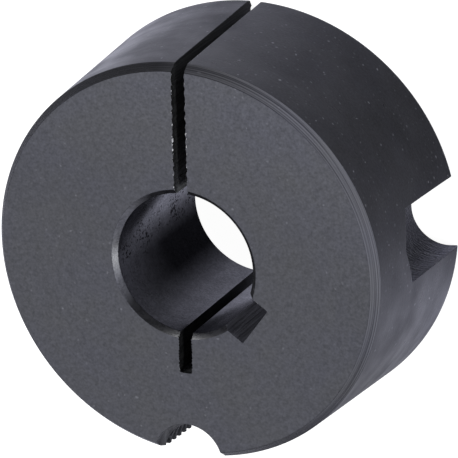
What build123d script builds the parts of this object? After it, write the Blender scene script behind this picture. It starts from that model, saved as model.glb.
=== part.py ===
from build123d import *
import os
from math import cos, radians, sin, tan

# Split taper bush: the tapered sleeve that locks a pulley, sprocket or coupling hub on a keyed
# shaft. It is turned from one bar of cast iron, bored, drilled and tapped along the taper,
# keyed, and sawn through on one side so that it can close on the shaft.
#
# The bush stands on its large end. The origin is on the bore axis in the large-end face, +Z runs
# along the axis to the small end, and +Y points at the saw cut that splits the wall.
# Sizes are millimetres. Angles are degrees about +Z, counted from +X towards +Y.

# Turned body
length = 25.4
large_end_diameter = 57.0
taper_half_angle = 4.0
large_rim_radius = 1.0
small_chamfer_along = 1.3
small_chamfer_across = 0.95

# Bore and keyway
bore_diameter = 19.0
bore_chamfer = 0.7
keyway_width = 6.0
keyway_depth = 2.8
keyway_angle = -36.0
keyway_corner_radius = 0.2

# Saw cuts: the split runs right through the wall, the relief slot stops part way
split_width = 1.75
split_angle = 90.0
relief_width = 1.75
relief_angle = -90.0
relief_reach = 14.95
relief_corner_radius = 0.3

# Plain half-holes: drilled along the taper from the large end, closed at the drill point
plain_hole_diameter = 10.0
plain_hole_circle_radius = 26.65
plain_hole_depth = 14.65
plain_hole_angles = (5.2, 185.2)
drill_point_angle = 135.0

# Threaded half-hole for the screw that jacks the bush out again: 3/8 inch, 16 turns to the inch
screw_circle_radius = 26.99
thread_angle = -90.0
thread_major_diameter = 9.525
thread_pitch = 25.4 / 16
thread_flank_angle = 55.0
tap_drill_diameter = 8.1
thread_mouth_diameter = 9.7
thread_mouth_angle = 90.0

# Every cut runs this far past the faces that it goes through
overcut = 1.0


def cone_radius(height):
    """Outside radius of the taper at a height above the large end."""
    return large_end_diameter / 2 - height * tan(radians(taper_half_angle))


def at_angle(angle, radius=0.0, height=0.0):
    """Place on a radius of the bush, with local +X pointing outwards."""
    return Rot(0, 0, angle) * Pos(radius, 0, height)


def make_blank():
    """Turned ring: straight bore, tapered outside, edges broken at both ends."""
    bore_radius = bore_diameter / 2
    mouth_radius = bore_radius + bore_chamfer
    shoulder_height = length - small_chamfer_along
    shoulder_radius = cone_radius(shoulder_height)
    wall = Polyline(
        (mouth_radius, 0),
        (cone_radius(0), 0),
        (shoulder_radius, shoulder_height),
        (shoulder_radius - small_chamfer_across, length),
        (mouth_radius, length),
        (bore_radius, length - bore_chamfer),
        (bore_radius, bore_chamfer),
        close=True,
    )
    section = make_face(wall)
    rim = section.vertices().sort_by(Axis.X)[-1]
    section = fillet(rim, large_rim_radius)
    return revolve(Plane.XZ * section, Axis.Z)


def make_split():
    """Saw cut through the whole wall on one side."""
    reach = large_end_diameter / 2 + overcut
    saw = Box(reach, split_width, length + 2 * overcut, align=(Align.MIN, Align.CENTER, Align.MIN))
    return at_angle(split_angle, height=-overcut) * saw


def slot_cutter(width, reach, corner_radius):
    """Slot from the bush's axis out to a flat bottom with softened corners."""
    slot = Box(reach, width, length + 2 * overcut, align=(Align.MIN, Align.CENTER, Align.MIN))
    bottom_corners = slot.edges().filter_by(Axis.Z).group_by(Axis.X)[-1]
    return fillet(bottom_corners, corner_radius)


def make_relief_slot():
    """Slot opposite the split, where the ring flexes as it closes."""
    slot = slot_cutter(relief_width, relief_reach, relief_corner_radius)
    return at_angle(relief_angle, height=-overcut) * slot


def make_keyway():
    """Broached keyway along the whole bore."""
    floor = bore_diameter / 2 + keyway_depth
    slot = slot_cutter(keyway_width, floor, keyway_corner_radius)
    return at_angle(keyway_angle, height=-overcut) * slot


def make_plain_half_hole(angle):
    """Drilled hole with its cone-shaped bottom, open at the large end."""
    radius = plain_hole_diameter / 2
    point_height = radius / tan(radians(drill_point_angle / 2))
    outline = Polyline(
        (0, -overcut),
        (radius, -overcut),
        (radius, plain_hole_depth),
        (0, plain_hole_depth + point_height),
        close=True,
    )
    drill = revolve(Plane.XZ * make_face(outline), Axis.Z)
    return at_angle(angle, plain_hole_circle_radius) * drill


def make_tapping_hole():
    """Through hole for the thread, with a countersunk mouth at each end."""
    drill_radius = tap_drill_diameter / 2
    mouth_radius = thread_mouth_diameter / 2
    mouth_depth = (mouth_radius - drill_radius) / tan(radians(thread_mouth_angle / 2))
    outline = Polyline(
        (0, -overcut),
        (mouth_radius, -overcut),
        (mouth_radius, 0),
        (drill_radius, mouth_depth),
        (drill_radius, length - mouth_depth),
        (mouth_radius, length),
        (mouth_radius, length + overcut),
        (0, length + overcut),
        close=True,
    )
    drill = revolve(Plane.XZ * make_face(outline), Axis.Z)
    return at_angle(thread_angle, screw_circle_radius) * drill


def make_thread_groove():
    """Right-hand helical groove of the thread, cut into the wall of the tapping hole."""
    major_radius = thread_major_diameter / 2
    inner_radius = tap_drill_diameter / 2 - thread_pitch / 8
    flank_slope = tan(radians(thread_flank_angle / 2))
    sharp_radius = major_radius + thread_pitch / 12 / flank_slope
    half_mouth = (sharp_radius - inner_radius) * flank_slope
    half_root = (sharp_radius - major_radius) * flank_slope
    turns_past_end = 2
    run_out = turns_past_end * thread_pitch
    helix = Helix(thread_pitch, length + 2 * run_out, inner_radius)
    groove = Polyline(
        (inner_radius, -half_mouth),
        (major_radius, -half_root),
        (major_radius, half_root),
        (inner_radius, half_mouth),
        close=True,
    )
    section = Plane.XZ * make_face(groove)
    cutter = sweep(section, path=helix, is_frenet=True)
    return at_angle(thread_angle, screw_circle_radius, -run_out) * cutter


def make_taper_bush():
    """The bush: one turned ring with all its cuts."""
    bush = make_blank()
    bush -= make_keyway()
    bush -= make_relief_slot()
    bush -= make_split()
    for angle in plain_hole_angles:
        bush -= make_plain_half_hole(angle)
    bush -= make_tapping_hole()
    bush -= make_thread_groove()
    return bush


taper_bush = make_taper_bush()
taper_bush.label = "taper_bush"

os.makedirs("parts", exist_ok=True)
export_step(taper_bush, "parts/taper_bush.step")
print(f"taper_bush: {len(taper_bush.solids())} solid, volume {taper_bush.volume:.0f} mm3")
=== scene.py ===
# %% [markdown]
# # A split taper bush
#
# A taper bush is the sleeve that locks a pulley or a sprocket on its shaft. It is one piece of
# iron: turned to a slow taper, bored, keyed, drilled and tapped along its side, and sawn through
# so that it can close. This lesson makes it the way a machine shop does. One turned blank comes
# first, then one cutter for each machining step, and last a finish for each kind of cut.
#
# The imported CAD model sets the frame: metres, +Z up the bore axis from the large end, and +Y
# towards the saw cut.

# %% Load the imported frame
import math

import bmesh
import bpy
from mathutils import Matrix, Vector


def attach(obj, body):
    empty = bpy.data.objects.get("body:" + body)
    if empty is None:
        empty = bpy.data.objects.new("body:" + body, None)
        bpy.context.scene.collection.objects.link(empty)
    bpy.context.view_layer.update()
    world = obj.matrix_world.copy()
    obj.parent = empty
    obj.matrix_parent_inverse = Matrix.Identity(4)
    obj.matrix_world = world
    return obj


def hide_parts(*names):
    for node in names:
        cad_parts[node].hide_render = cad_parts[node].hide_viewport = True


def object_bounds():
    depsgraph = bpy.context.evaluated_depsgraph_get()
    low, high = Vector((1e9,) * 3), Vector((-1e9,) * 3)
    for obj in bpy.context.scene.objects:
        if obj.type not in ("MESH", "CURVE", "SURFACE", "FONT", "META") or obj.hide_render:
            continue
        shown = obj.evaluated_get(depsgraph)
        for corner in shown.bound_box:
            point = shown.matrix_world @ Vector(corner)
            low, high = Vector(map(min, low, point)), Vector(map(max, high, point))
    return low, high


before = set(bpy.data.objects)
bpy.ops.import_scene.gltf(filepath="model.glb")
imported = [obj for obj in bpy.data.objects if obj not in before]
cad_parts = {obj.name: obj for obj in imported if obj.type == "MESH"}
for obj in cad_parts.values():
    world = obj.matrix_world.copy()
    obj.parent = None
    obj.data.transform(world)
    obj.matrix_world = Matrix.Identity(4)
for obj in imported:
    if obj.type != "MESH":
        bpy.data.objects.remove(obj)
cad_low, cad_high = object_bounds()
print("CAD box, mm:", [round(1000 * (high - low), 2) for low, high in zip(cad_low, cad_high)])

# %% [markdown]
# Sizes are written in millimetres, as on a drawing, and one factor turns them to metres. The
# length is read from the frame, so the blank always ends where the CAD part ends.

# %% Sizes of the blank
MM = 0.001
LENGTH = cad_high[2] - cad_low[2]
LARGE_END_RADIUS = 28.5 * MM
TAPER_SLOPE = math.tan(math.radians(4.0))
RIM_ROUND = 1.0 * MM
NOSE_ALONG = 1.3 * MM
NOSE_ACROSS = 0.95 * MM
BORE_RADIUS = 9.5 * MM
BORE_CHAMFER = 0.7 * MM
OVERCUT = 1.0 * MM


def cone_radius(height):
    """Outside radius of the taper at a height above the large end."""
    return LARGE_END_RADIUS - height * TAPER_SLOPE


print("small end across, mm:", round(2000 * cone_radius(LENGTH), 2))

# %% [markdown]
# Operators act on whatever is selected, and the loaded CAD nodes come in selected. These helpers
# clear the selection, pick parts of a mesh by where they are, and close a modelling step.


# %% Helpers for working by selection
def clear_selection():
    """Nothing is selected, so the next operator acts on its own piece alone."""
    if bpy.context.object is not None and bpy.context.object.mode != "OBJECT":
        bpy.ops.object.mode_set(mode="OBJECT")
    bpy.ops.object.select_all(action="DESELECT")


def work_on(piece):
    """Make one piece the selected, active one."""
    clear_selection()
    piece.select_set(True)
    bpy.context.view_layer.objects.active = piece


def edit(piece, kind="VERT"):
    """Open one piece in edit mode with nothing picked."""
    work_on(piece)
    bpy.ops.object.mode_set(mode="EDIT")
    bpy.ops.mesh.select_mode(type=kind)
    bpy.ops.mesh.select_all(action="DESELECT")


def pick(piece, test):
    """Pick the faces, edges or points of the piece in edit mode that pass a test."""
    mesh = bmesh.from_edit_mesh(piece.data)
    if "FACE" in mesh.select_mode:
        elements = mesh.faces
    elif "EDGE" in mesh.select_mode:
        elements = mesh.edges
    else:
        elements = mesh.verts
    picked = [element for element in elements if test(element)]
    for element in picked:
        element.select_set(True)
    mesh.select_flush_mode()
    bmesh.update_edit_mesh(piece.data)
    return len(picked)


def done(piece):
    """Back to object mode, with the place of the piece kept in its mesh."""
    bpy.ops.object.mode_set(mode="OBJECT")
    work_on(piece)
    bpy.ops.object.transform_apply(location=True, rotation=True, scale=True)


# %% [markdown]
# ## The turned blank
#
# On the lathe, the bush is one section swung round an axis, so the section is drawn first. It
# could be a cylinder with its ends inset and its edges bevelled, but then every chamfer would
# need two passes. One run of extruded points, spun once, gives the taper, the rounded rim, the
# nose chamfer and the bore chamfers together. Each corner gets a small break, as an edge has
# after it is deburred.


# %% Draw the section
def broken(corner, before, after, size, steps=3):
    """Points that round one corner of the section by a small size."""
    towards_before = (before - corner).normalized() * size
    towards_after = (after - corner).normalized() * size
    points = []
    for step in range(steps + 1):
        share = step / steps
        start = corner + towards_before * (1 - share)
        end = corner + towards_after * share
        points.append(start.lerp(end, share))
    return points


def rounded_rim(steps=10):
    """Points of the arc that joins the large-end face to the taper."""
    lean = math.atan(TAPER_SLOPE)
    centre_height = RIM_ROUND
    centre_radius = cone_radius(centre_height) - RIM_ROUND / math.cos(lean)
    points = []
    for step in range(steps + 1):
        turn = -math.pi / 2 + (math.pi / 2 + lean) * step / steps
        across = centre_radius + RIM_ROUND * math.cos(turn)
        up = centre_height + RIM_ROUND * math.sin(turn)
        points.append(Vector((across, 0, up)))
    return points


def between(start, end, count):
    """Evenly spaced points inside a straight run, which keep its faces short."""
    return [start.lerp(end, step / (count + 1)) for step in range(1, count + 1)]


def section_points():
    """The whole section, from the large-end bore chamfer outwards and back down the bore."""
    mouth = BORE_RADIUS + BORE_CHAMFER
    shoulder = LENGTH - NOSE_ALONG
    corners = [
        Vector((BORE_RADIUS, 0, BORE_CHAMFER)),
        Vector((mouth, 0, 0)),
        None,
        Vector((cone_radius(shoulder), 0, shoulder)),
        Vector((cone_radius(shoulder) - NOSE_ACROSS, 0, LENGTH)),
        Vector((mouth, 0, LENGTH)),
        Vector((BORE_RADIUS, 0, LENGTH - BORE_CHAMFER)),
    ]
    rim = rounded_rim()
    runs = []
    for index, corner in enumerate(corners):
        if corner is None:
            runs.append(rim)
            continue
        before = corners[index - 1] or rim[-1]
        after = corners[(index + 1) % len(corners)] or rim[0]
        runs.append(broken(corner, before, after, EDGE_BREAK))
    fillers = [0, 5, 7, 0, 5, 0, 7]
    points = []
    for index, run in enumerate(runs):
        points += run
        next_run = runs[(index + 1) % len(runs)]
        points += between(run[-1], next_run[0], fillers[index])
    return points


EDGE_BREAK = 0.09 * MM
section = section_points()
print("section points:", len(section))

# %% Spin the section into the blank
SIDES = 360
clear_selection()
bpy.ops.mesh.primitive_plane_add(size=MM)
bush = bpy.context.object
bush.name = "split_taper_bush"
bpy.ops.object.mode_set(mode="EDIT")
bpy.ops.mesh.merge(type="CENTER")
bpy.ops.transform.translate(value=section[0])
for here, there in zip(section, section[1:] + section[:1]):
    bpy.ops.mesh.extrude_vertices_move(TRANSFORM_OT_translate={"value": there - here})
bpy.ops.mesh.select_all(action="SELECT")
bpy.ops.mesh.remove_doubles(threshold=0.001 * MM)
bpy.ops.mesh.spin(steps=SIDES, angle=2 * math.pi, center=(0, 0, 0), axis=(0, 0, 1))
bpy.ops.mesh.select_all(action="SELECT")
bpy.ops.mesh.remove_doubles(threshold=0.001 * MM)
bpy.ops.mesh.normals_make_consistent(inside=False)
done(bush)
print("blank faces:", len(bush.data.polygons))

# %% [markdown]
# ## One cutter for each machining step
#
# Every later feature takes metal away, so each one is a solid cutter and a Boolean modifier,
# applied at once. The cutter carries the finish of its own cut, and the exact solver hands that
# finish to the faces that it makes. That is how the sawn walls, the drilled half-holes and the
# keyway each get a look of their own without picking a single face by hand.


# %% Finishes by name, and the cut itself
def finish(name):
    """One material slot for each kind of cut. Its nodes are wired further down."""
    material = bpy.data.materials.new(name)
    material.use_nodes = True
    return material


faced = finish("faced_black_iron")
turned = finish("turned_black_iron")
chamfered = finish("chamfered_black_iron")
bored = finish("bored_black_iron")
mouthed = finish("bore_mouth_black_iron")
sawn = finish("sawn_black_iron")
broached = finish("broached_black_iron")
drilled = finish("drilled_black_iron")
tapped = finish("tapped_black_iron")
countersunk = finish("countersunk_black_iron")


def dress(piece, material, test):
    """Give one finish to the faces of a piece that pass a test."""
    piece.data.materials.append(material)
    edit(piece, "FACE")
    picked = pick(piece, test)
    piece.active_material_index = len(piece.data.materials) - 1
    bpy.ops.object.material_slot_assign()
    done(piece)
    print(material.name, "on", picked, "faces")


def outwards(face):
    """How much a face looks away from the bore axis: 1 outwards, -1 towards the axis."""
    middle = face.calc_center_median()
    middle.z = 0.0
    return face.normal.dot(middle.normalized())


LEVEL = 0.85
UPRIGHT = 0.3
dress(bush, faced, lambda face: abs(face.normal.z) > LEVEL)
dress(bush, turned, lambda face: abs(face.normal.z) <= LEVEL and outwards(face) > 0.0)
dress(bush, chamfered, lambda face: outwards(face) > 0.0 and UPRIGHT < face.normal.z <= LEVEL)
dress(bush, bored, lambda face: abs(face.normal.z) <= UPRIGHT and outwards(face) < 0.0)
dress(bush, mouthed, lambda face: UPRIGHT < abs(face.normal.z) <= LEVEL and outwards(face) < 0.0)


def coat(piece, material):
    """The whole piece wears one finish."""
    piece.data.materials.clear()
    piece.data.materials.append(material)


def cut(target, cutter):
    """Take the cutter's shape out of the target, and clear the cutter away."""
    work_on(target)
    step = target.modifiers.new("cut_" + cutter.name, "BOOLEAN")
    step.operation = "DIFFERENCE"
    step.solver = "EXACT"
    step.material_mode = "TRANSFER"
    step.object = cutter
    bpy.ops.object.modifier_apply(modifier=step.name)
    bpy.data.objects.remove(cutter)
    print("after the cut:", len(target.data.polygons), "faces")


# %% [markdown]
# ## The saw cut and the relief slot
#
# A slitting saw leaves a wall that is nearly flat, with fine tooth marks and a torn edge. A plain
# box would leave two perfect lines across the face. So the box is cut into rows across and up
# the wall, close together near the two end faces. Every other row is widened a little for the
# tooth marks, and more where the saw breaks out. Then two Displace modifiers move the walls
# sideways: a gentle wave all over, and a rougher one held to the edges, where iron crumbles.
#
# The moved squares are no longer flat, and a Boolean needs flat faces, so they become triangles.

# %% Sizes of the sawn slots
SAW_CUT = 1.75 * MM
RELIEF_REACH = 14.95 * MM
RELIEF_CORNER = 0.3 * MM
TOOTH_MARK = 0.2 * MM
CRUMB = 0.22 * MM
CORNER_MARGIN = 0.4 * MM
EDGE_ZONE = 0.3
WALL_LEVELS = (-0.06, 0.12, 0.3, 0.8, 2.5, 5.0, 8.0, 12.0, 16.0, 20.0, 23.0, 24.6, 25.1, 25.28, 25.46)
TOOTH_WIDENING = 1.02
TORN_WIDENING = 1.11
WAVE_SIZE, WAVE_PUSH = 2.2 * MM, 0.05 * MM
CRUMB_SIZE, CRUMB_PUSH = 0.45 * MM, 0.50 * MM
print("rows up the sawn wall:", len(WALL_LEVELS) + 1)


# %% Make a saw blade as thick as its cut
def clouds(name, size, depth):
    """A soft procedural noise for a Displace modifier."""
    texture = bpy.data.textures.new(name, "CLOUDS")
    texture.noise_scale = size
    texture.noise_depth = depth
    texture.noise_basis = "ORIGINAL_PERLIN"
    return texture


def push_walls(blade, texture, group, strength):
    """Move the blade's wall points sideways by a noise."""
    step = blade.modifiers.new(texture.name, "DISPLACE")
    step.texture = texture
    step.texture_coords = "LOCAL"
    step.direction = "X"
    step.vertex_group = group
    step.mid_level = 0.5
    step.strength = strength
    bpy.ops.object.modifier_apply(modifier=step.name)


def weigh(piece, name, weight):
    """Give every point of a piece a weight worked out from its place."""
    group = piece.vertex_groups.new(name=name)
    for point in piece.data.vertices:
        group.add([point.index], weight(point.co), "REPLACE")


def along(edge, axis):
    """True for an edge that runs along one axis."""
    run = (edge.verts[1].co - edge.verts[0].co).normalized()
    return abs(run[axis]) > 0.99


def saw_blade(name, outer, corner=0.0):
    """A box as thick as the cut that reaches along Y, divided into tooth marks."""
    clear_selection()
    bpy.ops.mesh.primitive_cube_add(size=1, location=(0, outer / 2, LENGTH / 2))
    blade = bpy.context.object
    blade.name = name
    blade.scale = (SAW_CUT, abs(outer), LENGTH + 2 * OVERCUT)
    done(blade)
    if corner:
        edit(blade, "EDGE")
        pick(blade, lambda edge: along(edge, 2) and abs(edge.verts[0].co.y - outer) < 1e-6)
        bpy.ops.mesh.bevel(offset=corner, segments=3, affect="EDGES")
        done(blade)
    edit(blade, "EDGE")
    pick(blade, lambda edge: along(edge, 1))
    bpy.ops.mesh.subdivide(number_cuts=round(abs(outer) / TOOTH_MARK))
    for level in WALL_LEVELS:
        bpy.ops.mesh.select_all(action="SELECT")
        bpy.ops.mesh.bisect(plane_co=(0, 0, level * MM), plane_no=(0, 0, 1))
    done(blade)
    print(name, "faces:", len(blade.data.polygons))
    return blade


# %% Saw the split and the relief slot
def near_a_face(place):
    """1 where the wall meets an end face, falling to 0 a crumb away."""
    gap = min(abs(place.z), abs(place.z - LENGTH))
    return max(0.0, 1.0 - gap / CRUMB)


def clear_of_corner(place):
    """0 beside the rounded bottom of the relief slot, 1 everywhere else."""
    return min(1.0, max(0.0, (place.y + RELIEF_REACH - CORNER_MARGIN) / CRUMB))


def on_a_tooth(place):
    """True on every other row of points along the cut, clear of the slot's rounded bottom."""
    return round(place.y / TOOTH_MARK) % 2 == 0 and clear_of_corner(place) > 0.5


def roughen(blade):
    """Tooth marks where the saw breaks through, waves on the walls, crumbled edges."""
    weigh(blade, "edges", lambda place: near_a_face(place) * clear_of_corner(place))
    weigh(blade, "walls", clear_of_corner)
    edit(blade)
    pick(blade, lambda point: on_a_tooth(point.co) and near_a_face(point.co) < EDGE_ZONE)
    bpy.ops.transform.resize(value=(TOOTH_WIDENING, 1, 1), center_override=(0, 0, 0))
    bpy.ops.mesh.select_all(action="DESELECT")
    pick(blade, lambda point: on_a_tooth(point.co) and near_a_face(point.co) > EDGE_ZONE)
    bpy.ops.transform.resize(value=(TORN_WIDENING, 1, 1), center_override=(0, 0, 0))
    done(blade)
    push_walls(blade, clouds("saw_waves", WAVE_SIZE, 1), "walls", WAVE_PUSH)
    push_walls(blade, clouds("crumbs", CRUMB_SIZE, 2), "edges", CRUMB_PUSH)
    edit(blade, "FACE")
    bpy.ops.mesh.select_all(action="SELECT")
    bpy.ops.mesh.quads_convert_to_tris()
    done(blade)
    coat(blade, sawn)


for name, outer, corner in (
    ("saw_cut", LARGE_END_RADIUS + OVERCUT, 0.0),
    ("relief_slot", -RELIEF_REACH, RELIEF_CORNER),
):
    blade = saw_blade(name, outer, corner)
    roughen(blade)
    cut(bush, blade)

# %% [markdown]
# ## The keyway
#
# A broach is pulled straight through the bore, so the keyway is one long box with the two
# corners of its floor rounded a little. The box is turned to its angle in edit mode, where
# transform.rotate needs a centre of its own and turns the other way round.

# %% Broach the keyway
KEYWAY_WIDTH = 6.0 * MM
KEYWAY_FLOOR = BORE_RADIUS + 2.8 * MM
KEYWAY_ANGLE = math.radians(-36.0)
KEYWAY_CORNER = 0.2 * MM


def swing(angle):
    """Turn what is picked round the bore axis, anticlockwise seen from above."""
    bpy.ops.transform.rotate(
        value=-angle,
        orient_axis="Z",
        orient_type="GLOBAL",
        center_override=(0, 0, 0),
    )


clear_selection()
bpy.ops.mesh.primitive_cube_add(size=1, location=(KEYWAY_FLOOR / 2, 0, LENGTH / 2))
broach = bpy.context.object
broach.name = "keyway_broach"
broach.scale = (KEYWAY_FLOOR, KEYWAY_WIDTH, LENGTH + 2 * OVERCUT)
done(broach)
edit(broach, "EDGE")
pick(broach, lambda edge: all(abs(point.co.x - KEYWAY_FLOOR) < 1e-6 for point in edge.verts)
     and abs(edge.verts[0].co.z - edge.verts[1].co.z) > MM)
bpy.ops.mesh.bevel(offset=KEYWAY_CORNER, segments=4, affect="EDGES")
bpy.ops.mesh.select_all(action="SELECT")
swing(KEYWAY_ANGLE)
done(broach)
coat(broach, broached)
cut(bush, broach)

# %% [markdown]
# ## The half-holes for the clamping screws
#
# The bush and its hub are drilled together on the joint line, so each of them keeps half of the
# hole. In the bush the two clamping holes are plain, open at the large end and blind at the
# other, where the drill leaves its cone. A cylinder does the barrel, and one extrusion merged to
# a point makes the drill's tip.

# %% Drill the plain half-holes
CLAMP_HOLE_RADIUS = 5.0 * MM
CLAMP_HOLE_CIRCLE = 26.65 * MM
CLAMP_HOLE_DEPTH = 14.65 * MM
CLAMP_HOLE_ANGLES = (5.2, 185.2)
DRILL_POINT = CLAMP_HOLE_RADIUS / math.tan(math.radians(135.0 / 2))


def on_top(height):
    """A test for faces that lie flat at one height."""
    return lambda face: abs(face.calc_center_median().z - height) < 1e-6 and abs(face.normal.z) > 0.9


def drill(angle):
    """A twist drill standing in its hole, tip up."""
    clear_selection()
    depth = CLAMP_HOLE_DEPTH + OVERCUT
    middle = (CLAMP_HOLE_CIRCLE, 0, depth / 2 - OVERCUT)
    bpy.ops.mesh.primitive_cylinder_add(
        vertices=128, radius=CLAMP_HOLE_RADIUS, depth=depth, location=middle
    )
    tool = bpy.context.object
    tool.name = "drill"
    done(tool)
    edit(tool, "FACE")
    pick(tool, on_top(CLAMP_HOLE_DEPTH))
    bpy.ops.mesh.extrude_region_move(TRANSFORM_OT_translate={"value": (0, 0, DRILL_POINT)})
    bpy.ops.mesh.merge(type="CENTER")
    bpy.ops.mesh.select_all(action="SELECT")
    swing(math.radians(angle))
    done(tool)
    coat(tool, drilled)
    return tool


for angle in CLAMP_HOLE_ANGLES:
    cut(bush, drill(angle))

# %% [markdown]
# ## The threaded half-hole
#
# The third half-hole is tapped. A screw turned in here pushes against the hub and frees the
# bush. First comes the tapping drill with a mouth at each end. The mouth isn't a clean
# countersink: the tap tore it, so it flares fast at first and then goes nearly straight. Two
# extrusions, each with its own widening, give that. Then comes the thread groove: one tooth of
# the tap's outline, which the Screw modifier winds up round its own axis, so it is a true helix.
# It is wound at the origin and then moved out to the screw circle.

# %% Drill and countersink for the tap
SCREW_CIRCLE = 26.99 * MM
TAP_DRILL_RADIUS = 4.05 * MM
COUNTERSINK_RADIUS = 4.85 * MM
COUNTERSINK_DEPTH = 2.1 * MM
LIP_DEPTH = 1.1 * MM
TORN_FLARE = 0.99
LIP_FLARE = 1.01

clear_selection()
straight = LENGTH - 2 * COUNTERSINK_DEPTH
bpy.ops.mesh.primitive_cylinder_add(
    vertices=96, radius=TAP_DRILL_RADIUS, depth=straight, location=(0, 0, LENGTH / 2)
)
tapping_drill = bpy.context.object
tapping_drill.name = "tapping_drill"
done(tapping_drill)
flare = TORN_FLARE * COUNTERSINK_RADIUS / TAP_DRILL_RADIUS
for end, away in ((COUNTERSINK_DEPTH, -1), (LENGTH - COUNTERSINK_DEPTH, 1)):
    edit(tapping_drill, "FACE")
    pick(tapping_drill, on_top(end))
    for rise, wider in ((COUNTERSINK_DEPTH - LIP_DEPTH, flare), (LIP_DEPTH + OVERCUT, LIP_FLARE)):
        bpy.ops.mesh.extrude_region_move(TRANSFORM_OT_translate={"value": (0, 0, away * rise)})
        bpy.ops.transform.resize(value=(wider, wider, 1))
    done(tapping_drill)
tapping_drill.location.y = -SCREW_CIRCLE
done(tapping_drill)
coat(tapping_drill, tapped)
dress(tapping_drill, countersunk, lambda face: abs(face.calc_center_median().z - LENGTH / 2) > straight / 2)
cut(bush, tapping_drill)

# %% Wind the thread groove and cut it
THREAD_MAJOR_RADIUS = 4.7625 * MM
THREAD_PITCH = 25.4 / 16 * MM
FLANK_SLOPE = math.tan(math.radians(55.0 / 2))
ROOT_HALF = THREAD_PITCH / 12
TURNS = 20
MOUTH_RADIUS = TAP_DRILL_RADIUS - THREAD_PITCH / 8
MOUTH_HALF = ROOT_HALF + (THREAD_MAJOR_RADIUS - MOUTH_RADIUS) * FLANK_SLOPE

clear_selection()
bpy.ops.mesh.primitive_plane_add(size=1, rotation=(math.pi / 2, 0, 0))
groove = bpy.context.object
groove.name = "thread_groove"
groove.scale = (THREAD_MAJOR_RADIUS - MOUTH_RADIUS, 2 * MOUTH_HALF, 1)
groove.location.x = (THREAD_MAJOR_RADIUS + MOUTH_RADIUS) / 2
done(groove)
edit(groove)
pick(groove, lambda point: point.co.x > MOUTH_RADIUS + 1e-6)
bpy.ops.transform.resize(value=(1, 1, ROOT_HALF / MOUTH_HALF))
bpy.ops.mesh.select_all(action="SELECT")
bpy.ops.mesh.delete(type="ONLY_FACE")
done(groove)
winding = groove.modifiers.new("winding", "SCREW")
winding.axis = "Z"
winding.angle = 2 * math.pi
winding.screw_offset = THREAD_PITCH
winding.iterations = TURNS
winding.steps = 48
winding.render_steps = 48
winding.use_merge_vertices = False
bpy.ops.object.modifier_apply(modifier=winding.name)
edit(groove, "EDGE")
pick(groove, lambda edge: edge.is_boundary)
bpy.ops.mesh.edge_face_add()
bpy.ops.mesh.select_all(action="SELECT")
bpy.ops.mesh.quads_convert_to_tris()
bpy.ops.mesh.normals_make_consistent(inside=False)
done(groove)
groove.location = (0, -SCREW_CIRCLE, -2 * THREAD_PITCH)
done(groove)
coat(groove, tapped)
print("groove faces:", len(groove.data.polygons), "height, mm:", round(1000 * groove.dimensions.z, 2))
cut(bush, groove)

# %% [markdown]
# ## Smooth shading
#
# The turned faces should look round and the cut edges crisp. Smoothing by angle keeps every edge
# that turns more than 28 degrees sharp, and Weighted Normal keeps the long faces from being bent
# by the tiny ones beside them.

# %% Smooth the turned faces and keep the cut edges sharp
SHARP_ANGLE = math.radians(28)
work_on(bush)
bpy.ops.object.shade_smooth_by_angle(angle=SHARP_ANGLE)
steady = bush.modifiers.new("steady_normals", "WEIGHTED_NORMAL")
steady.keep_sharp = True
steady.weight = 100
bpy.ops.object.modifier_apply(modifier=steady.name)
print("smooth faces:", sum(face.use_smooth for face in bush.data.polygons))

# %% [markdown]
# ## Finishes
#
# The whole bush wears one thin black oxide. It is nearly black itself, and most of what is seen
# on it is soft gloss, so its base colours are dark and its gloss is low. What tells the cuts
# apart is their texture: rings on the turned faces, pits in the bore, tooth marks in the saw
# cuts, straight lines in the keyway. Each effect is a node group, made once and placed in each
# finish with values of its own. First come short helpers that add nodes and join them.


# %% Helpers that add and feed nodes
def feed(tree, node, feeds):
    """Set a node's sockets to values, or join other sockets to them."""
    for name, value in feeds.items():
        if isinstance(value, bpy.types.NodeSocket):
            tree.links.new(value, node.inputs[name])
        else:
            node.inputs[name].default_value = value
    return node


def put(tree, kind, feeds=None, **settings):
    """Add one node, set its menus, and feed its sockets."""
    node = tree.nodes.new("ShaderNode" + kind)
    for name, value in settings.items():
        setattr(node, name, value)
    return feed(tree, node, feeds or {})


def math_node(tree, operation, first, second=0.0):
    """One Math node, and its result."""
    return put(tree, "Math", {0: first, 1: second}, operation=operation).outputs[0]


def times(tree, first, second):
    """The product of two values."""
    return math_node(tree, "MULTIPLY", first, second)


def ramp(tree, value, low, high, to_low=0.0, to_high=1.0):
    """Stretch a range of a value to another range, and clamp it there."""
    feeds = {"Value": value, "From Min": low, "From Max": high, "To Min": to_low, "To Max": to_high}
    return put(tree, "MapRange", feeds).outputs["Result"]


def noise(tree, place, scale, detail, **more):
    """A soft noise over the piece."""
    return put(tree, "TexNoise", {"Vector": place, "Scale": scale, "Detail": detail, **more}).outputs["Fac"]


def blend_values(tree, share, first, second):
    """The first value where the share is 0, the second where it is 1."""
    return put(tree, "Mix", {"Factor": share, "A": first, "B": second}).outputs[0]


def blend_colours(tree, share, first, second, how="MIX"):
    """The first colour where the share is 0, the second where it is 1."""
    feeds = {"Factor": share, 6: first, 7: second}
    return put(tree, "Mix", feeds, data_type="RGBA", blend_type=how).outputs[2]


def scaled(tree, vector, by):
    """A vector or a colour made longer or brighter by a factor."""
    return put(tree, "VectorMath", {0: vector, "Scale": by}, operation="SCALE").outputs[0]


def stretched(tree, vector, by):
    """A vector stretched by its own factor along each axis."""
    return put(tree, "VectorMath", {0: vector, 1: by}, operation="MULTIPLY").outputs[0]


def lean_towards(tree, place, direction):
    """How far a place lies out along a direction from the bore axis."""
    feeds = {0: place, 1: direction}
    return put(tree, "VectorMath", feeds, operation="DOT_PRODUCT").outputs["Value"]


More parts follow.
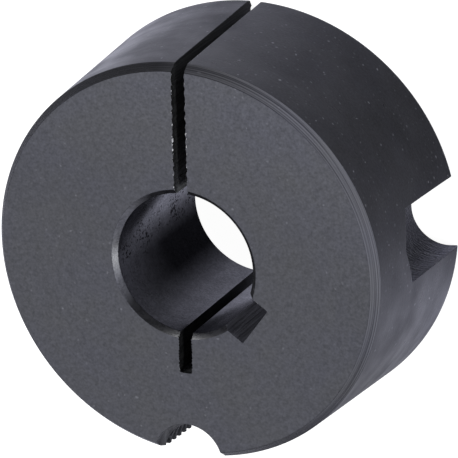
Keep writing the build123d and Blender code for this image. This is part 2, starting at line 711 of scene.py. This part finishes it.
# %% Helpers that make and place a node group
def new_group(name, takes, gives):
    """A node group with named inputs and outputs. takes holds a type and a value for each name."""
    group = bpy.data.node_groups.new(name, "ShaderNodeTree")
    for label, (kind, value) in takes.items():
        socket = group.interface.new_socket(label, in_out="INPUT", socket_type="NodeSocket" + kind)
        if value is not None:
            socket.default_value = value
    for label, kind in gives.items():
        group.interface.new_socket(label, in_out="OUTPUT", socket_type="NodeSocket" + kind)
    return group, group.nodes.new("NodeGroupInput").outputs


def give(group, **results):
    """Join the results to the group's outputs."""
    end = group.nodes.new("NodeGroupOutput")
    for name, socket in results.items():
        group.links.new(socket, end.inputs[name])
    print(group.name, "has", len(group.nodes), "nodes")


def use(tree, group, feeds):
    """Place a group in a material."""
    node = tree.nodes.new("ShaderNodeGroup")
    node.node_tree = group
    return feed(tree, node, feeds).outputs


# %% [markdown]
# ### Tool rings
#
# A lathe tool leaves a fine spiral that looks like rings: round the axis on a flat face, and one
# above the other on the taper and in the bore. A Wave texture would make them all alike. Here
# a noise is squeezed instead, so it changes fast across the rings and slowly along them. Along
# is 0 for a flat face and 1 for a wall. Reach says how soon a ring changes along its own way.

# %% Group: rings that a lathe tool leaves
PER_METRE = 1000.0
WIDE_STREAKS = (1.6, 1.6, 0.22)

rings, start = new_group(
    "tool_rings",
    {"Place": ("Vector", None), "Along": ("Float", 0.0), "Spacing": ("Float", 0.2), "Reach": ("Float", 3.0)},
    {"Height": "Float", "Streak": "Float"},
)
at = put(rings, "SeparateXYZ", {0: start["Place"]}).outputs
flat = put(rings, "CombineXYZ", {"X": at["X"], "Y": at["Y"]}).outputs[0]
radius = put(rings, "VectorMath", {0: flat}, operation="LENGTH").outputs["Value"]
turn = put(rings, "VectorMath", {0: flat}, operation="NORMALIZE").outputs["Vector"]
wander = scaled(rings, turn, start["Reach"])
advance = blend_values(rings, start["Along"], radius, at["Z"])
lines = times(rings, math_node(rings, "DIVIDE", advance, start["Spacing"]), PER_METRE)
ends = put(rings, "SeparateXYZ", {0: wander}).outputs
track = put(rings, "CombineXYZ", {"X": ends["X"], "Y": ends["Y"], "Z": lines}).outputs[0]
grooves = noise(rings, track, 1.0, 2.0)
streaks = noise(rings, stretched(rings, track, WIDE_STREAKS), 1.0, 3.0, Roughness=0.6)
give(rings, Height=grooves, Streak=streaks)

# %% [markdown]
# ### Straight lines
#
# A broach and a saw draw their lines along the axis. The same idea works with one stretch: the
# noise is squeezed sideways by making it thirty times longer up the wall.

# %% Group: straight lines drawn along the axis
LONG_LINES = (1, 1, 0.03)
COARSE_SHARE = 0.6

drawn, start = new_group(
    "drawn_lines",
    {"Place": ("Vector", None), "Spacing": ("Float", 0.2)},
    {"Height": "Float", "Streak": "Float"},
)
scale = math_node(drawn, "DIVIDE", PER_METRE, start["Spacing"])
long_place = stretched(drawn, start["Place"], LONG_LINES)
fine = noise(drawn, long_place, scale, 2.0)
coarse = noise(drawn, long_place, times(drawn, scale, COARSE_SHARE), 2.0)
give(drawn, Height=fine, Streak=coarse)

# %% [markdown]
# ### Uneven oxide
#
# Black oxide takes a little better in some places than others. Three noises mix a dark and a
# light shade of it: broad patches, fine grain, and the tool's own streaks. A fourth, slow one
# turns some areas a touch cooler, and is given out too, so a finish can vary its gloss by it.

# %% Group: uneven oxide
GRAIN_SHARE = 0.55
WARM_TINT = (1.0, 1.0, 0.985, 1)
COOL_TINT = (0.985, 0.99, 1.035, 1)

oxide, start = new_group(
    "uneven_oxide",
    {
        "Place": ("Vector", None),
        "Dark": ("Color", (0.03, 0.03, 0.033, 1)),
        "Light": ("Color", (0.06, 0.06, 0.066, 1)),
        "Streak": ("Float", 0.5),
        "Streaky": ("Float", 0.3),
        "Patch": ("Float", 220.0),
        "Fineness": ("Float", 3200.0),
    },
    {"Color": "Color", "Grain": "Float", "Cloud": "Float"},
)
patches = noise(oxide, start["Place"], start["Patch"], 4.0)
grain = noise(oxide, start["Place"], start["Fineness"], 2.0)
share = blend_values(oxide, GRAIN_SHARE, patches, grain)
share = blend_values(oxide, start["Streaky"], share, start["Streak"])
shade = blend_colours(oxide, ramp(oxide, share, 0.36, 0.64), start["Dark"], start["Light"])
clouds_over = noise(oxide, start["Place"], 130.0, 2.0)
tint = blend_colours(oxide, ramp(oxide, clouds_over, 0.35, 0.65), WARM_TINT, COOL_TINT)
toned = blend_colours(oxide, 1.0, shade, tint, how="MULTIPLY")
give(oxide, Color=toned, Grain=grain, Cloud=clouds_over)

# %% [markdown]
# ### Specks of dust
#
# A few pale specks lie on any part that has stood about. A Voronoi texture gives each small cell
# a centre and a random colour. Part of that colour picks the cells that hold a speck, and another
# part says how faint it is. A little noise sways the cells, so the specks aren't round, and a
# slow noise gathers them into drifts.

# %% Group: pale specks of dust
SWAY = 0.0007
FAINTEST = 0.16

dust, start = new_group(
    "pale_specks",
    {"Place": ("Vector", None), "Spacing": ("Float", 1.0), "Size": ("Float", 0.22), "Share": ("Float", 0.3)},
    {"Mask": "Float"},
)
sway = put(dust, "TexNoise", {"Vector": start["Place"], "Scale": 900.0, "Detail": 1.0}).outputs["Color"]
swayed = put(dust, "VectorMath", {0: start["Place"], 1: scaled(dust, sway, SWAY)}, operation="ADD")
scale = math_node(dust, "DIVIDE", PER_METRE, start["Spacing"])
cells = put(dust, "TexVoronoi", {"Vector": swayed.outputs[0], "Scale": scale}).outputs
size = math_node(dust, "DIVIDE", start["Size"], start["Spacing"])
near = ramp(dust, math_node(dust, "DIVIDE", cells["Distance"], size), 1.0, 0.3)
lot = put(dust, "SeparateColor", {0: cells["Color"]}).outputs
drifts = ramp(dust, noise(dust, start["Place"], 260.0, 1.0), 0.40, 0.60, 0.35, 1.2)
chosen = math_node(dust, "LESS_THAN", lot[0], times(dust, drifts, start["Share"]))
faint = ramp(dust, math_node(dust, "POWER", lot[1], 5.0), 0.0, 1.0, FAINTEST, 1.0)
give(dust, Mask=times(dust, times(dust, near, faint), chosen))

# %% [markdown]
# ### Soft edges and their wear
#
# No edge on a handled part is perfectly sharp, and oxide rubs off there first. The Bevel node
# gives the normal of a rounded edge without any more faces. Where that normal differs from the
# true one there is an edge, and a noise breaks the wear into crumbs along it.

# %% Group: soft edges and their wear
FADE = 0.08

edges, start = new_group(
    "soft_edges",
    {
        "Place": ("Vector", None),
        "Radius": ("Float", 0.00012),
        "Torn": ("Float", 1500.0),
        "From": ("Float", 0.56),
    },
    {"Normal": "Vector", "Wear": "Float"},
)
rounded = put(edges, "Bevel", {"Radius": start["Radius"]}, samples=6).outputs[0]
true = put(edges, "NewGeometry").outputs["Normal"]
sharp = ramp(edges, lean_towards(edges, rounded, true), 0.99, 0.86)
crumble = noise(edges, start["Place"], start["Torn"], 2.0)
upper = math_node(edges, "ADD", start["From"], FADE)
chance = ramp(edges, crumble, start["From"], upper)
give(edges, Normal=rounded, Wear=times(edges, sharp, chance))

# %% [markdown]
# ### Pits in the bore
#
# Cast iron has small holes where graphite and sand were, and the boring tool opens them. They
# are marks in the finish and not dents in the mesh, because they are finer than any face. They
# gather on one side of the bore: a slow noise makes zones there, and a fine one makes the pits.
# Each pit is painted near black: partly the dark graphite, partly painted shade standing in for the hollow.

# %% Group: pits left in the bore wall
PITTED_SIDE = (-0.966, 0.259, 0)
PITTED_FROM, PITTED_TO = 7.0 * MM, 9.0 * MM
RARE, CROWDED = 0.74, 0.53

pits, start = new_group(
    "casting_pits",
    {"Place": ("Vector", None), "Share": ("Float", 0.5)},
    {"Mask": "Float"},
)
lean = ramp(pits, lean_towards(pits, start["Place"], PITTED_SIDE), PITTED_FROM, PITTED_TO)
zone = times(pits, ramp(pits, noise(pits, start["Place"], 380.0, 2.0), 0.28, 0.56), lean)
level = ramp(pits, zone, 0.0, 1.0, RARE, CROWDED)
deep = math_node(pits, "SUBTRACT", noise(pits, start["Place"], 3000.0, 3.0), level)
give(pits, Mask=times(pits, ramp(pits, deep, 0.0, 0.05), start["Share"]))

# %% [markdown]
# ### Bare crumbs along the saw cuts
#
# Where the saw broke out, a few grains of iron lost their oxide. They may only show in a narrow
# strip on each side of the cuts and just under the small end's face, so the mask is a noise cut
# off at a level, times one test for each of those limits.

# %% Group: bare crumbs along the saw cuts
CRUMBS_REACH_Y = -10.6 * MM

crumbs, start = new_group(
    "bare_crumbs",
    {"Place": ("Vector", None), "Reach": ("Float", 0.00016)},
    {"Mask": "Float"},
)
at = put(crumbs, "SeparateXYZ", {0: start["Place"]}).outputs
past = math_node(crumbs, "SUBTRACT", math_node(crumbs, "ABSOLUTE", at["X"]), SAW_CUT / 2)
strip = math_node(crumbs, "LESS_THAN", math_node(crumbs, "ABSOLUTE", past), start["Reach"])
depth = math_node(crumbs, "SUBTRACT", LENGTH, at["Z"])
shallow = math_node(crumbs, "LESS_THAN", depth, start["Reach"])
on_the_cuts = math_node(crumbs, "GREATER_THAN", at["Y"], CRUMBS_REACH_Y)
towards_bore = ramp(crumbs, at["Y"], 13 * MM, 15.5 * MM, 0.66, 0.565)
towards_rim = ramp(crumbs, at["Y"], 17 * MM, 21 * MM, 0.0, 0.12)
level = math_node(crumbs, "ADD", towards_bore, towards_rim)
bare = math_node(crumbs, "GREATER_THAN", noise(crumbs, start["Place"], 3000.0, 1.0), level)
bare = times(crumbs, times(crumbs, bare, strip), on_the_cuts)
give(crumbs, Mask=times(crumbs, bare, shallow))

# %% [markdown]
# ## Putting a finish together
#
# Every finish has the same order: oxide, then dust, then bare iron at the worn edges, and the
# tool's marks as bump. Three finishes need one thing more, and each gets a helper.
#
# - Painted light: the colour can be made paler towards one side, standing in for that side catching more
#   light.
# - Painted shade in the sawn walls: darker near the face and towards the rim, and darkest in the relief
#   slot.
# - The bore has a thin clear gloss. It is left out of the pits, and nearly left out along one
#   side of the wall, which reads almost black from the mouth to the foot. What makes that side
#   dark on a real bush isn't known, so this is a choice of finish and not a fact about the part.


# %% What three of the finishes add
MOUTH_TOP, MOUTH_FOOT = 0.5 * MM, 1.3 * MM
# Painted shade in the saw cuts: how dark the rim side and the relief slot are painted.
RIM_PAINTED_SHADE, RELIEF_PAINTED_SHADE = 0.6, 0.35
MATT_SIDE = (-0.887, -0.462, 0)
MATT_FROM, MATT_TO = 7.4 * MM, 9.3 * MM
MATT_GLOSS, MOUTH_GLOSS = 0.06, 0.50


def paint_light_on_one_side(tree, colour, place, painted_lit_side):
    """Painted light: the colour grows paler towards one side, standing in for that side catching more light.
    The tuple holds a direction, where the change starts and ends in mm, and the gain.
    """
    towards, start_at, end_at, gain = painted_lit_side
    out = lean_towards(tree, place, towards)
    return scaled(tree, colour, ramp(tree, out, start_at * MM, end_at * MM, 1.0, gain))


def paint_shade_in_saw_cuts(tree, colour, place, painted_shade_at_face):
    """Painted shade in the saw cuts: darker near the face, towards the rim and in the relief slot."""
    at = put(tree, "SeparateXYZ", {0: place}).outputs
    shallow = ramp(tree, at["Z"], LENGTH - MOUTH_FOOT, LENGTH - MOUTH_TOP, 1.0, painted_shade_at_face)
    colour = scaled(tree, colour, shallow)
    outer = ramp(tree, at["Y"], 11 * MM, 15 * MM, 1.0, RIM_PAINTED_SHADE)
    in_relief = math_node(tree, "GREATER_THAN", 0.0, at["Y"])
    return scaled(tree, colour, blend_values(tree, in_relief, outer, RELIEF_PAINTED_SHADE))


def bore_gloss(tree, place, hole, tone, line):
    """The share of clear gloss on the bore wall: none in a pit, little along the matt side."""
    matt = ramp(tree, lean_towards(tree, place, MATT_SIDE), MATT_FROM, MATT_TO, 1.0, MATT_GLOSS)
    height = put(tree, "SeparateXYZ", {0: place}).outputs["Z"]
    mouthwards = ramp(tree, height, 12 * MM, 27 * MM, 0.0, 0.95)
    polish = blend_values(tree, mouthwards, matt, MOUTH_GLOSS)
    polish = times(tree, polish, ramp(tree, tone["Grain"], 0.35, 0.65, 0.80, 1.12))
    polish = times(tree, polish, ramp(tree, line["Streak"], 0.35, 0.65, 0.90, 1.08))
    return times(tree, math_node(tree, "SUBTRACT", 1.0, hole), polish)


# The printed names are the painted light on one side, the painted shade in the saw cuts and the bore's
# gloss.
print("extras ready: thin oxide, dark saw cut, bore gloss")

# %% Wire one finish
BARE_IRON = (0.42, 0.42, 0.44, 1)
DUST = (0.34, 0.34, 0.38, 1)
# Near black in the pits: partly dark graphite, partly painted shade for the hollow.
PIT_GRAPHITE_AND_SHADE = (0.002, 0.002, 0.002, 1)
CLEAR_IOR = 1.46


def wire(
    material, dark, light, roughness, gloss, along, spacing, groove, reach=3.0,
    streaky=0.3, dusty=0.3, dust_strength=0.4, wear=0.6, torn_from=0.60, grain=0.5, spread=0.06,
    pitted=0.0, straight=False, painted_shade_at_face=1.0, patch=220.0, painted_lit_side=None, cloudy=0.0,
):
    """Black oxide over one kind of cut."""
    tree = material.node_tree
    shader = tree.nodes["Principled BSDF"]
    place = put(tree, "TexCoord").outputs["Object"]
    if straight:
        line = use(tree, drawn, {"Place": place, "Spacing": spacing})
    else:
        line = use(tree, rings, {"Place": place, "Along": along, "Spacing": spacing, "Reach": reach})
    feeds = {"Place": place, "Dark": (*dark, 1), "Light": (*light, 1)}
    feeds.update({"Streak": line["Streak"], "Streaky": streaky, "Patch": patch})
    tone = use(tree, oxide, feeds)
    specks = use(tree, dust, {"Place": place, "Share": dusty})
    edge = use(tree, edges, {"Place": place, "From": torn_from})

    colour = tone["Color"]
    # Painted light: paler towards one side.
    if painted_lit_side:
        colour = paint_light_on_one_side(tree, colour, place, painted_lit_side)
    # Painted shade in the saw cuts.
    if painted_shade_at_face < 1.0:
        colour = paint_shade_in_saw_cuts(tree, colour, place, painted_shade_at_face)
    worn = times(tree, edge["Wear"], wear)
    worn = math_node(tree, "MAXIMUM", worn, use(tree, crumbs, {"Place": place})["Mask"])
    colour = blend_colours(tree, times(tree, specks["Mask"], dust_strength), colour, DUST)
    colour = blend_colours(tree, worn, colour, BARE_IRON)

    rough = ramp(tree, line["Streak"], 0.35, 0.65, roughness - spread, roughness + spread)
    if cloudy:
        rough = math_node(tree, "ADD", rough, ramp(tree, tone["Cloud"], 0.38, 0.62, -cloudy, cloudy))
    if pitted:
        hole = use(tree, pits, {"Place": place, "Share": pitted})["Mask"]
        tree.links.new(bore_gloss(tree, place, hole, tone, line), shader.inputs["Coat Weight"])
        shader.inputs["Coat Roughness"].default_value = roughness
        shader.inputs["Coat IOR"].default_value = CLEAR_IOR
        # Pits painted near black: graphite and painted shade.
        colour = blend_colours(tree, hole, colour, PIT_GRAPHITE_AND_SHADE)
    relief = math_node(tree, "ADD", line["Height"], times(tree, tone["Grain"], grain))
    bump = {"Height": relief, "Distance": groove, "Strength": 1.0, "Normal": edge["Normal"]}
    bumped = put(tree, "Bump", bump).outputs[0]
    feed(tree, shader, {"Base Color": colour, "Roughness": rough, "Normal": bumped})
    shader.inputs["Specular IOR Level"].default_value = gloss
    print(material.name, "has", len(tree.nodes), "nodes")


# %% [markdown]
# ## One finish for each kind of cut
#
# The numbers after a finish's name are its dark and light shade, roughness, gloss, whether its
# lines run round (0) or up (1), their spacing in millimetres, and the depth of the marks.
#
# The faced end is the palest, because facing leaves a coarse, dull surface. The taper and the
# chamfer are finish-turned: darker and glossier. The chamfer is nearly all streaks. The faced end
# and the chamfer are also painted paler towards one side, as painted light.

# %% Finish the turned faces
# Painted light: the faced end is a little paler towards one side, and the chamfer much paler towards one
# side, where it stands in for the chamfer's highlight.
wire(faced, (0.0415, 0.0425, 0.0490), (0.074, 0.075, 0.087), 0.5, 0.12, 0.0, 0.25, 0.008 * MM,
     streaky=0.22, patch=1800.0, dusty=0.9, dust_strength=0.24, painted_lit_side=((0.2, 0.98, 0), 6, 26, 1.26))
wire(turned, (0.003, 0.003, 0.004), (0.019, 0.019, 0.023), 0.36, 0.14, 1.0, 0.5, 0.006 * MM,
     spread=0.04, dusty=1.8, dust_strength=0.42, cloudy=0.06, grain=1.8)
wire(chamfered, (0.005, 0.005, 0.006), (0.020, 0.020, 0.022), 0.36, 0.05, 1.0, 0.032, 0.04 * MM,
     streaky=0.97, reach=0.4, painted_lit_side=((0.94, 0.34, 0), 6, 25, 9.5))

# %% [markdown]
# The bore is the smoothest cut, since a shaft has to slide in, and it is the one with pits. The
# chamfer at its mouth catches more light than the wall, and one side of it is painted paler still: painted
# light.

# %% Finish the bore and its mouth
wire(bored, (0.003, 0.003, 0.004), (0.017, 0.017, 0.022), 0.25, 0.0, 1.0, 0.3, 0.016 * MM,
     pitted=0.85, dusty=0.0)
# Painted light: the mouth chamfer is painted paler towards one side.
wire(mouthed, (0.008, 0.008, 0.009), (0.022, 0.022, 0.025), 0.30, 0.36, 1.0, 0.2, 0.010 * MM,
     painted_lit_side=((-0.98, 0.2, 0), 6, 9, 6.8))

# %% [markdown]
# The saw and the broach leave straight lines, and the sawn walls are the roughest and palest of
# all, though painted shade darkens them near the face, towards the rim and in the relief slot.
# The drill leaves deep rings in its half-holes, and one of them gets painted light on its outer
# side. The thread is dull, and its torn mouth is rough and pale.

# %% Finish the slots, the keyway and the holes
# Painted shade: the sawn walls are darkened near the face, towards the rim and in the relief slot.
wire(sawn, (0.050, 0.051, 0.051), (0.140, 0.142, 0.142), 0.7, 0.1, 1.0, 0.16, 0.08 * MM,
     straight=True, streaky=0.7, dust_strength=0.6, painted_shade_at_face=0.2)
wire(broached, (0.008, 0.008, 0.010), (0.074, 0.074, 0.084), 0.45, 0.12, 1.0, 0.2, 0.05 * MM,
     straight=True, streaky=0.8)
# Painted light: one drilled half-hole is painted paler towards its outer side.
wire(drilled, (0.004, 0.004, 0.005), (0.046, 0.046, 0.056), 0.44, 0.20, 1.0, 0.36, 0.24 * MM,
     streaky=0.35, reach=70.0, spread=0.1, painted_lit_side=((0.996, 0.09, 0), 24.4, 26.8, 10.0))
wire(tapped, (0.016, 0.016, 0.018), (0.045, 0.045, 0.050), 0.6, 0.06, 1.0, 0.4, 0.020 * MM, wear=0.2)
wire(countersunk, (0.025, 0.025, 0.028), (0.082, 0.082, 0.090), 0.6, 0.10, 1.0, 0.35, 0.12 * MM,
     streaky=0.7, reach=26.0)

# %% [markdown]
# ## The floor
#
# The bush stands on its large end on white paper. The paper is a dull grey that takes the
# shadow, plus a glow that only the camera and mirrored rays see. That keeps it white without
# throwing more light on the iron.
#
# Dark gloss shows the studio more than its own colour. So the mirrored paper has a cool tint,
# two soft areas of shade and one of light, which stand in for the dark and pale things round a
# real studio. They belong to the studio and not to the bush.

# %% Floor
FLOOR_GAP = 0.02 * MM
PAPER_GREY = (0.35, 0.35, 0.35, 1)
PAPER_GLOW = 0.97
MIRRORED_TINT = (0.77, 0.78, 0.98, 1)
PLAIN_WHITE = (1.0, 1.0, 1.0, 1)

clear_selection()
bpy.ops.mesh.primitive_plane_add(size=3.0, location=(0, 0, -FLOOR_GAP))
floor = bpy.context.object
floor.name = "studio_floor"
paper = bpy.data.materials.new("white_paper")
paper.use_nodes = True
wires = paper.node_tree
wires.nodes.clear()
path = put(wires, "LightPath").outputs
seen = math_node(wires, "MAXIMUM", path["Is Camera Ray"], path["Is Glossy Ray"])
seen = math_node(wires, "MAXIMUM", seen, path["Is Transmission Ray"])
mirrored = math_node(wires, "SUBTRACT", 1.0, path["Is Camera Ray"])
spot = put(wires, "TexCoord").outputs["Object"]


def pool(x, y, inner, outer, strength):
    """A round soft area of light or shade on the floor, in mm, seen only in reflections."""
    feeds = {0: spot, 1: (x * MM, y * MM, 0)}
    offset = put(wires, "VectorMath", feeds, operation="DISTANCE").outputs["Value"]
    return times(wires, ramp(wires, offset, inner * MM, outer * MM, strength, 0.0), mirrored)


shade = math_node(wires, "MAXIMUM", pool(30, 17, 8, 28, 0.6), pool(14, -31, 8, 22, 0.62))
glow = times(wires, seen, math_node(wires, "SUBTRACT", 1.0, shade))
glow = times(wires, glow, math_node(wires, "ADD", 1.0, pool(36, -8, 4, 16, 0.35)))
glow = times(wires, glow, PAPER_GLOW)
tint = blend_colours(wires, path["Is Camera Ray"], MIRRORED_TINT, PLAIN_WHITE)
lit = put(wires, "BsdfDiffuse", {"Color": PAPER_GREY})
shown = put(wires, "Emission", {"Color": tint, "Strength": glow})
both = put(wires, "AddShader", {0: lit.outputs[0], 1: shown.outputs[0]})
put(wires, "OutputMaterial", {"Surface": both.outputs[0]})
floor.data.materials.append(paper)
print("floor nodes:", len(wires.nodes))

# %% [markdown]
# ## Light
#
# Three large, weak lamps light the bush: one above and behind for the face, and one low on each
# side for the taper. Large lamps give dark metal soft shine without hard spots.

# %% Light
WORLD_STRENGTH = 0.02
LAMP_DISTANCE = 0.9

world = bpy.data.worlds.new("studio")
bpy.context.scene.world = world
world.use_nodes = True
air = world.node_tree.nodes["Background"]
air.inputs["Color"].default_value = PLAIN_WHITE
air.inputs["Strength"].default_value = WORLD_STRENGTH


def softbox(name, azimuth, elevation, width, height, power, colour=(1, 1, 1)):
    """A soft lamp that hangs on a sphere round the bush and looks at it."""
    turn = math.radians(azimuth)
    rise = math.radians(elevation)
    towards = Vector((math.cos(turn) * math.cos(rise), math.sin(turn) * math.cos(rise), math.sin(rise)))
    clear_selection()
    bpy.ops.object.light_add(type="AREA", location=towards * LAMP_DISTANCE)
    lamp = bpy.context.object
    lamp.name = name
    lamp.data.shape = "RECTANGLE"
    lamp.data.size = width
    lamp.data.size_y = height
    lamp.data.energy = power
    lamp.data.color = colour
    lamp.rotation_euler = towards.to_track_quat("Z", "Y").to_euler()
    print(name, "gives", power, "W")


softbox("top_softbox", 225, 65, 0.45, 0.45, 4.0)
softbox("left_softbox", 122, 38, 0.40, 0.40, 7.0, (0.96, 0.97, 1.0))
softbox("right_softbox", 342, 24, 0.35, 0.50, 6.0, (0.94, 0.96, 1.0))

# %% [markdown]
# ## Camera
#
# A long lens from half a metre shows the small end and the taper together with little
# perspective, as a studio would. Standard view keeps colours about as they are written.

# %% Camera
CAMERA_PLACE = (0.1875456, 0.1645970, 0.4225276)
CAMERA_TURN = (-20.5955, 23.9995, -1.4594)
CAMERA_LENS = 287.39

bpy.ops.object.camera_add()
camera = bpy.context.object
camera.location = CAMERA_PLACE
camera.rotation_euler = [math.radians(turn) for turn in CAMERA_TURN]
camera.data.lens = CAMERA_LENS
camera.data.sensor_width = 36.0
camera.data.clip_start = 0.01
camera.data.clip_end = 10
bpy.context.scene.camera = camera
bpy.context.scene.view_settings.view_transform = "Standard"
print("camera stands this far off, mm:", round(1000 * camera.location.length))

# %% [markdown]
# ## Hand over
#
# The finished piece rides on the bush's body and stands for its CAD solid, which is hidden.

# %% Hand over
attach(bush, "root")
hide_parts("taper_bush")
